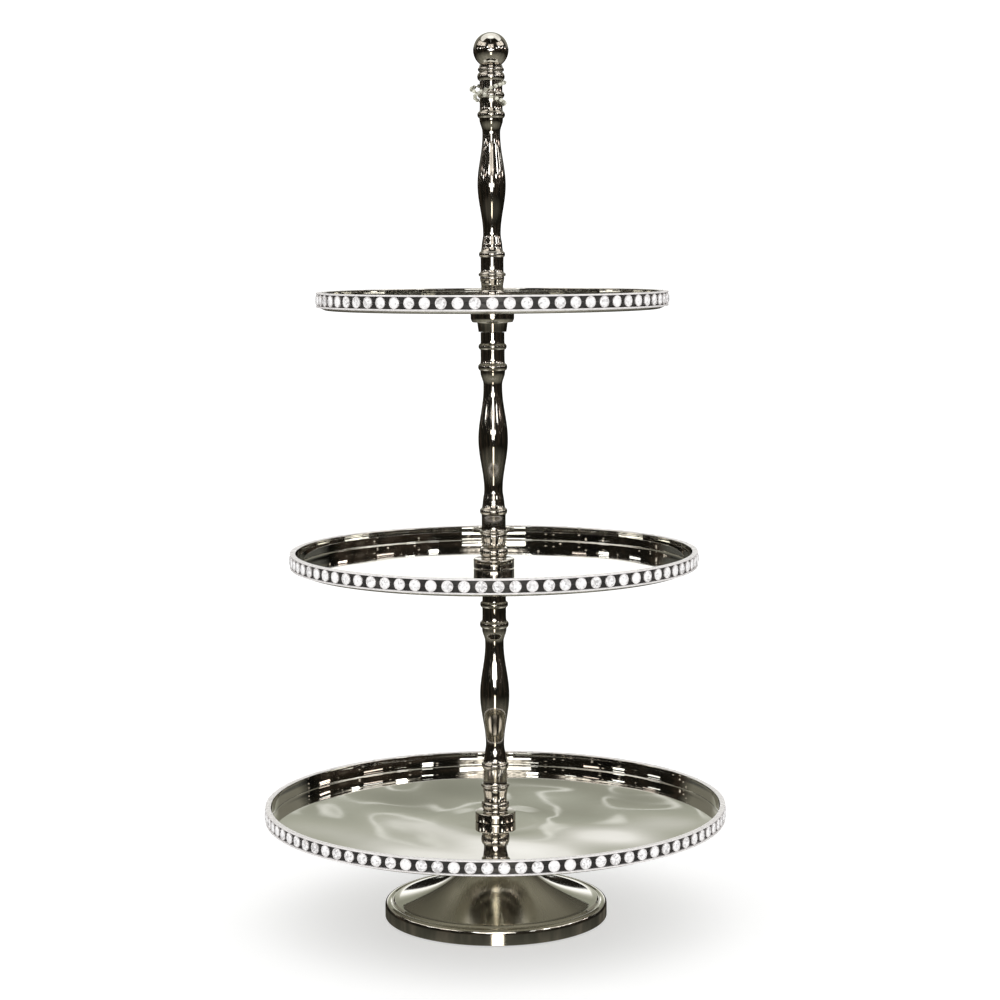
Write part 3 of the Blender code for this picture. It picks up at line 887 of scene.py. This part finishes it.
# What polished metal mirrors. A span is (from, to, softness) in degrees. A bearing is 0 in front
# of the stand and positive to the right, and "away" is a bearing without its sign.
TABLE_EDGE, TABLE_NEAR = -11.0, -46.0  # heights where the table starts, and where it is brightest
SPOTS_HEIGHT = (2.0, 22.0, 1.0)
FRONT_PANEL_AWAY, FRONT_PANEL_HEIGHT = (-1.0, 17.0, 4.0), (13.0, 33.0, 2.0)
LEFT_PANEL, RIGHT_PANEL = (-112.0, -38.0, 5.0), (47.0, 104.0, 5.0)
SIDE_PANELS_HEIGHT = (22.0, 42.0, 1.5)
CEILING_HEIGHT = (45.0, 95.0, 2.0)
CEILING_GAP_AWAY, CEILING_GAP_HEIGHT = (-1.0, 72.0, 5.0), (43.0, 73.0, 2.0)
ZENITH_HEIGHT = (77.0, 95.0, 2.5)
WALL_AWAY, WALL_HEIGHT = (122.0, 190.0, 6.0), (6.3, 45.0, 0.6)
WALL_ENDS_AWAY = (100.0, 160.0, 6.0)
LINES_AWAY, LINES_HEIGHT = (175.5, 190.0, 0.5), (12.7, 16.3, 0.4)
SPOT_GLOW = (1.5, 1.35, 1.2, 1.0)
PANEL_GLOW = (2.0, 1.86, 1.70, 1.0)
ZENITH_GLOW = (1.7, 1.7, 1.66, 1.0)
LINE_GLOW = (0.98, 0.98, 0.92, 1.0)
WALL_TOP = 50.0         # height angle at the top of the two ramps below
WALL_GLOW = (
    (0.180, (1.36, 1.36, 1.33)), (0.200, (1.22, 1.22, 1.18)), (0.220, (1.04, 1.03, 1.00)),
    (0.238, (0.98, 0.97, 0.93)), (0.248, (0.76, 0.755, 0.70)), (0.258, (0.62, 0.62, 0.56)),
    (0.276, (0.49, 0.495, 0.42)), (0.298, (0.42, 0.43, 0.36)), (0.320, (0.37, 0.375, 0.31)),
    (0.346, (0.30, 0.305, 0.25)), (0.468, (0.36, 0.38, 0.30)), (0.864, (0.56, 0.57, 0.52)),
)
WALL_ENDS_GLOW = ((0.20, (0.11, 0.11, 0.10)), (0.23, (0.25, 0.24, 0.20)))


def floor_and_backdrop():
    """Plain pale table top. Metal mirrors the dark room's own table instead of this one."""
    made, tree, shader, place = new_material("pale_table")
    shader.inputs["Specular IOR Level"].default_value = 0.1
    shader.inputs["Emission Color"].default_value = (1.0, 1.0, 1.0, 1.0)
    shader.inputs["Emission Strength"].default_value = TABLE_GLOW
    mottle = noise(tree, place, 3.0)
    tree.links.new(ramp(tree, mottle, (0.3, (0.56, 0.56, 0.56)), (0.7, (0.60, 0.60, 0.595))),
                   shader.inputs["Base Color"])
    tree.links.new(spread(tree, mottle, 0.5, 0.6), shader.inputs["Roughness"])
    mesh = bpy.data.meshes.new("table_top")
    bm = bmesh.new()
    bmesh.ops.create_circle(bm, cap_ends=True, segments=128, radius=TABLE_RADIUS)
    bm.to_mesh(mesh)
    bm.free()
    mesh.materials.append(made)
    table = bpy.data.objects.new("table_top", mesh)
    table.location.z = cad_low.z - TABLE_DROP
    bpy.context.collection.objects.link(table)
    table.visible_glossy = False


def between(tree, value, low, high, soft):
    """1 where value lies between low and high, falling to 0 over soft on both sides."""
    rise = node(tree, "ShaderNodeMapRange", {"Value": value, "From Min": low - soft,
                                             "From Max": low + soft})
    fall = node(tree, "ShaderNodeMapRange", {"Value": value, "From Min": high - soft,
                                             "From Max": high + soft, "To Min": 1.0, "To Max": 0.0})
    return maths(tree, "MULTIPLY", rise.outputs["Result"], fall.outputs["Result"])


def patch(tree, around, span, height, rise):
    """1 where one value lies in its span and the height in another: a patch of the room."""
    return maths(tree, "MULTIPLY", between(tree, around, *span), between(tree, height, *rise))


def blended(tree, factor, first, second):
    """Mix of two colours, each a value or a socket. Factor 0 gives the first."""
    made = tree.nodes.new("ShaderNodeMix")
    made.data_type = "RGBA"
    tree.links.new(factor, made.inputs["Factor"])
    # A mix node has its two colours at inputs 6 and 7, and its mixed colour at output 2
    for socket, colour in ((made.inputs[6], first), (made.inputs[7], second)):
        if isinstance(colour, bpy.types.NodeSocket):
            tree.links.new(colour, socket)
        else:
            socket.default_value = colour
    return made.outputs[2]


def studio_world():
    """White studio to the eye and to matt surfaces, and a dark room in what metal mirrors."""
    world = bpy.data.worlds.new("studio")
    bpy.context.scene.world = world
    world.use_nodes = True
    tree = world.node_tree
    tree.nodes.clear()
    direction = tree.nodes.new("ShaderNodeTexCoord").outputs["Generated"]
    parts = node(tree, "ShaderNodeSeparateXYZ", {"Vector": direction}).outputs
    degrees = 180 / math.pi
    height = maths(tree, "MULTIPLY", maths(tree, "ARCSINE", parts["Z"]), degrees)
    forwards = maths(tree, "MULTIPLY", parts["Y"], -1.0)
    bearing = maths(tree, "MULTIPLY", maths(tree, "ARCTAN2", parts["X"], forwards), degrees)
    away = maths(tree, "ABSOLUTE", bearing)

    # Dim room: brown and olive clutter, lighter below the table's edge
    clutter = noise(tree, direction, 3.2, 5.0, 0.6)
    room = ramp(tree, clutter, (0.30, (0.003, 0.003, 0.003)), (0.50, (0.012, 0.011, 0.008)),
                (0.62, (0.040, 0.030, 0.022)), (0.75, (0.10, 0.085, 0.07)))
    table = ramp(tree, clutter, (0.35, (0.21, 0.205, 0.165)), (0.65, (0.38, 0.37, 0.31)))
    below = node(tree, "ShaderNodeMapRange", {"Value": height, "From Min": TABLE_EDGE,
                                              "From Max": TABLE_NEAR}).outputs["Result"]
    room = blended(tree, below, room, table)
    # Small lamps far off
    spots = node(tree, "ShaderNodeTexVoronoi", {"Vector": direction, "Scale": 11.0})
    spot = patch(tree, spots.outputs["Distance"], (-1.0, 0.12, 0.04), height, SPOTS_HEIGHT)
    room = blended(tree, spot, room, SPOT_GLOW)
    # Pale panels in front and at both sides, unevenly lit
    front = patch(tree, away, FRONT_PANEL_AWAY, height, FRONT_PANEL_HEIGHT)
    sides = maths(tree, "ADD", between(tree, bearing, *LEFT_PANEL),
                  between(tree, bearing, *RIGHT_PANEL))
    sides = maths(tree, "MULTIPLY", sides, between(tree, height, *SIDE_PANELS_HEIGHT))
    mottle = spread(tree, noise(tree, direction, 15.0, 3.0, 0.65), -0.3, 1.5)
    panels = maths(tree, "MULTIPLY", maths(tree, "ADD", front, sides), mottle, clamp=True)
    room = blended(tree, panels, room, PANEL_GLOW)
    # Bright ceiling, with a dark gap at the front and its brightest part overhead
    gap = patch(tree, away, CEILING_GAP_AWAY, height, CEILING_GAP_HEIGHT)
    ceiling = maths(tree, "SUBTRACT", between(tree, height, *CEILING_HEIGHT), gap, clamp=True)
    plaster = ramp(tree, clutter, (0.35, (0.95, 0.95, 0.93)), (0.65, (1.55, 1.55, 1.50)))
    room = blended(tree, ceiling, room, plaster)
    room = blended(tree, between(tree, height, *ZENITH_HEIGHT), room, ZENITH_GLOW)
    # Wall behind the stand: white low down, and grey-green with pale curved lines above. Its two
    # ends are dim.
    climb = maths(tree, "DIVIDE", height, WALL_TOP)
    wall = ramp(tree, climb, *WALL_GLOW)
    lines = maths(tree, "ABSOLUTE", maths(tree, "SUBTRACT", noise(tree, direction, 26.0, 1.0), 0.5))
    lines = between(tree, lines, -1.0, 0.020, 0.014)
    lines = maths(tree, "MULTIPLY", lines, patch(tree, away, LINES_AWAY, height, LINES_HEIGHT))
    lines = maths(tree, "MULTIPLY", lines, 0.75)
    wall = blended(tree, lines, wall, LINE_GLOW)
    ends = ramp(tree, climb, *WALL_ENDS_GLOW)
    wall = blended(tree, between(tree, away, *WALL_ENDS_AWAY), wall, ends)
    room = blended(tree, patch(tree, away, WALL_AWAY, height, WALL_HEIGHT), room, wall)

    dark = node(tree, "ShaderNodeBackground", {"Color": room, "Strength": 1.0})
    white = node(tree, "ShaderNodeBackground", {"Color": (1.0, 1.0, 1.0, 1.0),
                                                "Strength": STUDIO_WHITE})
    glossy = tree.nodes.new("ShaderNodeLightPath").outputs["Is Glossy Ray"]
    mixed = node(tree, "ShaderNodeMixShader", {0: glossy, 1: white.outputs[0], 2: dark.outputs[0]})
    out = tree.nodes.new("ShaderNodeOutputWorld")
    tree.links.new(mixed.outputs[0], out.inputs["Surface"])


def lamp(name, bearing, height, distance, width, tall, power, aim):
    """Rectangular lamp. Its bearing is 0 in front of the stand and positive to the right."""
    turn, rise = math.radians(bearing), math.radians(height)
    data = bpy.data.lights.new(name, "AREA")
    data.shape = "RECTANGLE"
    data.size, data.size_y, data.energy = width, tall, power
    made = bpy.data.objects.new(name, data)
    offset = Vector((math.sin(turn) * math.cos(rise), -math.cos(turn) * math.cos(rise),
                     math.sin(rise)))
    made.location = aim + offset * distance
    made.rotation_euler = offset.to_track_quat("Z", "Y").to_euler()
    made.visible_camera = False
    made.visible_diffuse = False
    bpy.context.collection.objects.link(made)
    return made


# Room lamps: bearing, height angle, width and height in degrees, and radiance
ROOM_LAMPS = (
    (-97.0, 12.5, 9.0, 1.3, 3.0), (-94.0, 16.0, 9.0, 1.0, 2.0), (-72.0, 12.0, 7.0, 2.5, 5.0),
    (-70.0, 17.0, 8.0, 1.0, 3.0), (-55.0, 14.5, 9.0, 1.3, 3.0), (-43.0, 17.0, 6.0, 1.3, 4.0),
    (-21.0, 19.0, 6.0, 6.0, 7.0), (13.0, 20.0, 5.0, 1.5, 3.0), (38.0, 13.5, 6.0, 3.5, 6.0),
    (54.0, 19.0, 6.0, 7.0, 7.0), (71.0, 12.5, 12.0, 1.2, 3.5), (72.0, 16.5, 12.0, 1.2, 3.0),
    (84.0, 18.0, 5.0, 4.0, 4.0), (106.0, 12.0, 8.0, 2.0, 5.0), (108.0, 17.0, 9.0, 1.0, 2.5),
)
# Lamps in front: name, bearing, height angle, distance, width and height in metres, power, tint
KEY_LAMPS = (
    ("key_low", 0.0, 0.0, 2.55, 0.85, 0.27, 2.8, (1.0, 0.98, 0.95)),
    ("key_middle", 0.0, 5.0, 2.55, 1.80, 0.18, 4.4, (1.0, 0.98, 0.95)),
    ("key_high", 1.0, 11.0, 2.60, 0.50, 0.38, 2.4, (1.0, 0.95, 0.90)),
    ("table_glint", 1.5, -20.0, 2.30, 0.42, 0.62, 2.8, (1.0, 0.90, 0.74)),
)
LAMP_DISTANCE = 3.2
ROSY = (1.0, 0.86, 0.80)  # tint of every third room lamp

CAMERA_PLACE = (0.0, -1.4871, 0.4390)
CAMERA_PITCH, CAMERA_YAW, CAMERA_ROLL = 6.364, 0.16, 0.334  # degrees
CAMERA_LENS, CAMERA_SENSOR = 83.75, 36.0


def lights():
    """Lamps that only polished metal shows, round the room and in front of the stand."""
    middle = 0.5 * (cad_low + cad_high)
    degree = LAMP_DISTANCE * math.radians(1.0)
    for index, (bearing, height, width, tall, radiance) in enumerate(ROOM_LAMPS):
        made = lamp(f"room_lamp_{index:02d}", bearing, height, LAMP_DISTANCE, width * degree,
                    tall * degree, radiance * math.pi * width * tall * degree ** 2, middle)
        if index % 3 == 1:
            made.data.color = ROSY
    for name, bearing, height, distance, width, tall, power, tint in KEY_LAMPS:
        lamp(name, bearing, height, distance, width, tall, power, middle).data.color = tint


def camera():
    """Camera at the photograph's view: in front of the pole, and looking slightly down."""
    data = bpy.data.cameras.new("camera")
    data.sensor_width = CAMERA_SENSOR
    data.lens = CAMERA_LENS
    made = bpy.data.objects.new("camera", data)
    bpy.context.collection.objects.link(made)
    pitch, yaw, roll = (math.radians(turn) for turn in (CAMERA_PITCH, CAMERA_YAW, CAMERA_ROLL))
    turn = (Matrix.Rotation(-yaw, 4, "Z") @ Matrix.Rotation(math.pi / 2 - pitch, 4, "X")
            @ Matrix.Rotation(-roll, 4, "Z"))
    made.matrix_world = Matrix.Translation(CAMERA_PLACE) @ turn
    bpy.context.scene.camera = made


# ---- the stand
def build():
    nickel = polished_nickel("column_nickel", (0.70, 0.67, 0.62), (0.56, 0.53, 0.47), 0.05, 0.10)
    tray_nickel = polished_nickel("tray_nickel", (0.78, 0.77, 0.73), (0.70, 0.69, 0.64), 0.02, 0.05)
    foot_nickel = polished_nickel("foot_nickel", (0.82, 0.80, 0.74), (0.72, 0.70, 0.63), 0.05, 0.10)
    # Strip behind the stones: near-black, painted shade of the gaps between them
    strip = dark_strip_painted_shade("strip_painted_shade")
    # Lips and cups: painted sheen in a near-white, barely metallic plate
    lip_and_cup_sheen = painted_sheen_satin_metal("satin_nickel_painted_sheen")
    spun = spun_metal("spun_nickel")
    # Stones and beads: lighter and darker facet cells painted as sparkle
    crystal = crystal_painted_sparkle("crystal_painted_sparkle", (0.97, 0.96, 0.96), (0.54, 0.525, 0.525))
    bead = crystal_painted_sparkle("bead_painted_sparkle", (0.72, 0.71, 0.60), (0.05, 0.05, 0.03), 520.0, 0.75)
    steel = plated_steel("zinc_steel")
    felt = black_felt("black_felt")

    foot(foot_nickel, steel, felt)
    for tier in TIERS:
        tray_pan(tier, tray_nickel, lip_and_cup_sheen, spun)
        stone_chain(tier, crystal, strip, lip_and_cup_sheen)
        column(tier, nickel)
    threaded_rod("lower_stud", "lower_thread", "foot", steel)
    threaded_rod("middle_stud", "middle_thread", "lower_column", steel)
    threaded_rod("upper_stud", "upper_thread", "middle_column", steel)
    threaded_rod("finial_stud", "finial_thread", "finial", steel)
    finial(nickel)
    bead_strand(bead, nickel)


build()
floor_and_backdrop()
studio_world()
lights()
camera()
bpy.context.scene.view_settings.view_transform = "Standard"
